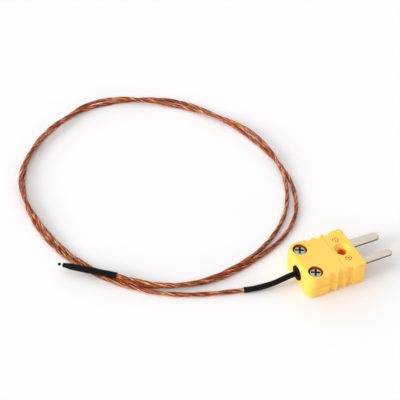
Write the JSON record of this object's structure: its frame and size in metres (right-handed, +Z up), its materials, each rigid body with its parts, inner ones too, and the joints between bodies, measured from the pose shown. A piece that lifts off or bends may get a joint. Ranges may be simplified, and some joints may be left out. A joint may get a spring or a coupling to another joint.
{
  "type": "thermocouple probe",
  "caption": "Bead thermocouple: a miniature flat-blade plug, a thin twisted two-wire lead laid in two loose turns, and a sleeved tip that ends in a welded bead.",
  "frame": {"origin": "middle of the underside of the plug and its blades, on the surface that the plug lies on", "axes": "+X along the plug towards the blade tips, +Z up from the underside; the lead leaves the plug at -X and lies towards +Y"},
  "size_m": [0.0974, 0.1159, 0.0082],
  "materials": {
    "plug_plastic": "fine satin moulding",
    "screw_steel": "bright plated",
    "insert_brass": "turned",
    "blade_alloy": "dull rolled",
    "black_rubber": "matte",
    "shrink_sleeve": "satin",
    "lead_film": "glossy amber film wrap",
    "red_film": "glossy film",
    "yellow_film": "glossy film",
    "wire_alloy": "drawn wire",
    "bead_alloy": "oxidised weld"
  },
  "bodies": {
    "root": {"plug_base": "plug_plastic", "plug_cover": "plug_plastic", "cover_screw_left": "screw_steel", "cover_screw_right": "screw_steel", "screw_insert_left": "insert_brass", "screw_insert_right": "insert_brass", "blade_negative": "blade_alloy", "blade_positive": "blade_alloy", "terminal_screw_negative": "screw_steel", "terminal_screw_positive": "screw_steel", "clamp_washer_negative": "screw_steel", "clamp_washer_positive": "screw_steel", "entry_grommet": "black_rubber", "wire_tail_negative": "red_film", "wire_tail_positive": "yellow_film", "bare_end_negative": "wire_alloy", "bare_end_positive": "wire_alloy", "plug_sleeve": "shrink_sleeve", "lead": "lead_film", "tip_sleeve": "shrink_sleeve", "tip_wire_negative": "wire_alloy", "tip_wire_positive": "wire_alloy", "junction_bead": "bead_alloy"}
  },
  "joints": []
}
